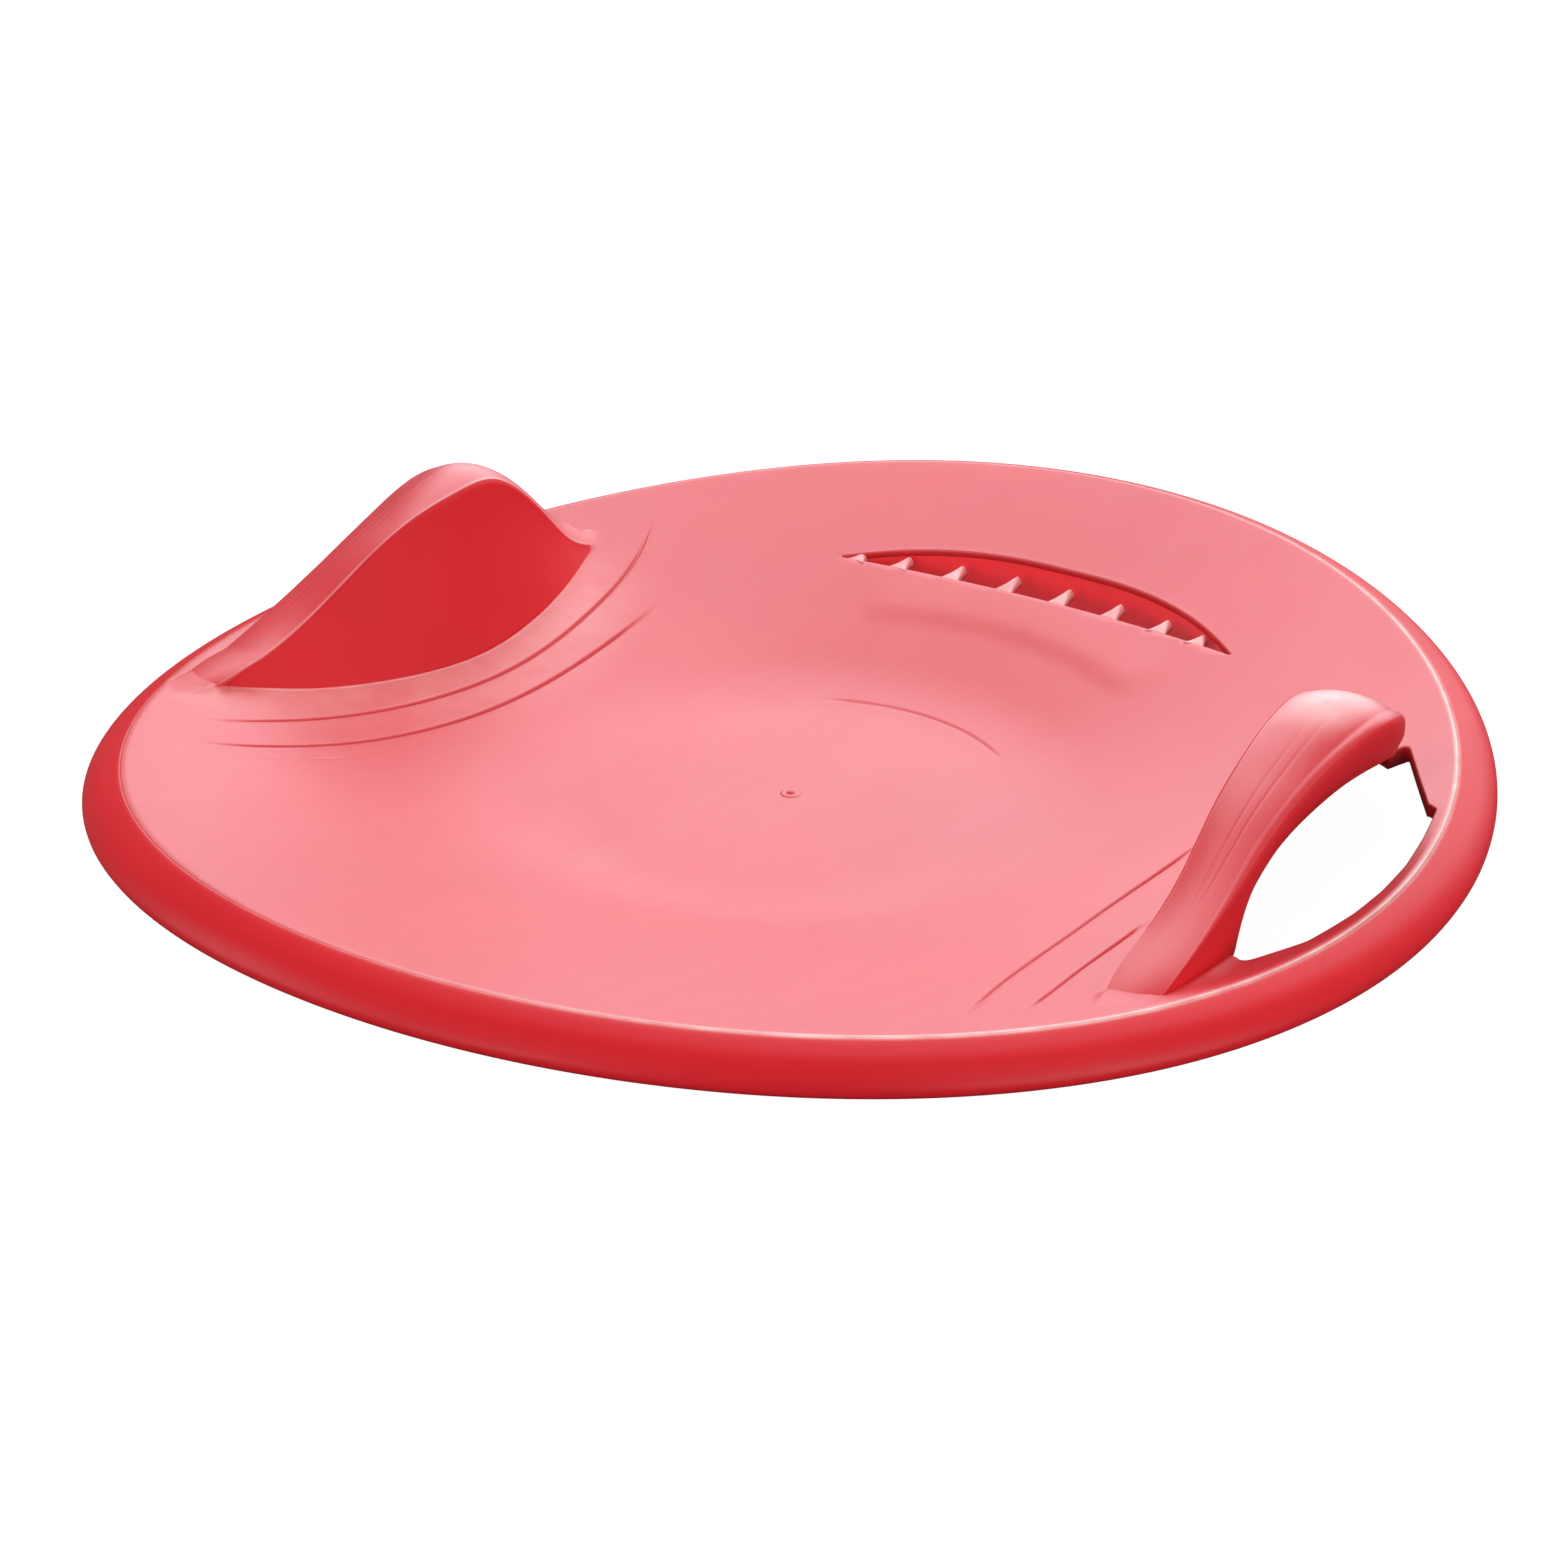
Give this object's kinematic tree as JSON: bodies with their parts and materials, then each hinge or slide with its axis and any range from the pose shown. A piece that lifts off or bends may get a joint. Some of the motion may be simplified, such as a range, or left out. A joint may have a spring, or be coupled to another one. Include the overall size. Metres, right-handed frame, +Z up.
{
  "type": "saucer sled",
  "caption": "Round moulded saucer sled with a shallow dished seat, saddle-shaped rolled rim, a raised hand grip over a finger opening on each side and a curved slot behind the seat.",
  "frame": {"origin": "middle of the flat underside, where the sled rests on level ground", "axes": "+Z up, -Y the front of the sled, +Y the rear with the curved slot, +X to the right when the sled is seen from its front"},
  "size_m": [0.602, 0.602, 0.0916],
  "materials": {
    "shell": "satin polyethylene, self-coloured red",
    "grip": "satin polyethylene, self-coloured red, fine lines along the band"
  },
  "bodies": {
    "root": {"seat_deck": "shell", "edge_rim": "shell", "right_grip_wall": "shell", "left_grip_wall": "shell", "right_grip_band": "grip", "left_grip_band": "grip", "rear_slot_apron": "shell", "rear_slot_ribs": "shell", "centre_gate_stub": "shell"}
  },
  "joints": []
}
